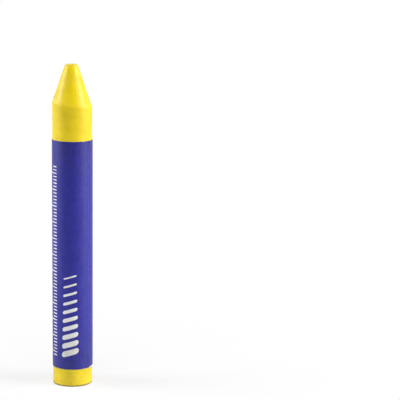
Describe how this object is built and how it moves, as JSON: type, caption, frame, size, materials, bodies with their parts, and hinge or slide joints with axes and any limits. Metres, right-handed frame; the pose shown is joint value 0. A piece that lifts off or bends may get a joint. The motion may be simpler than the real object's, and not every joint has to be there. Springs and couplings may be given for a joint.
{
  "type": "marking crayon",
  "caption": "Round wax marking crayon with a blunt cone tip and a flat foot, wrapped in a lapped and glued blue paper label, for marking timber, metal, stone and card.",
  "frame": {"origin": "centre of the flat foot, on the surface that the crayon stands on", "axes": "+Z along the stick to the tip, -Y out of the front of the label, +X to the right seen from the front"},
  "size_m": [0.0123, 0.0122, 0.0978],
  "materials": {
    "wax": "satin",
    "label_paper": "satin",
    "glue": "satin"
  },
  "bodies": {
    "root": {"wax_stick": "wax", "paper_label": "label_paper", "pickup_glue": "glue", "lap_glue": "glue"}
  },
  "joints": []
}
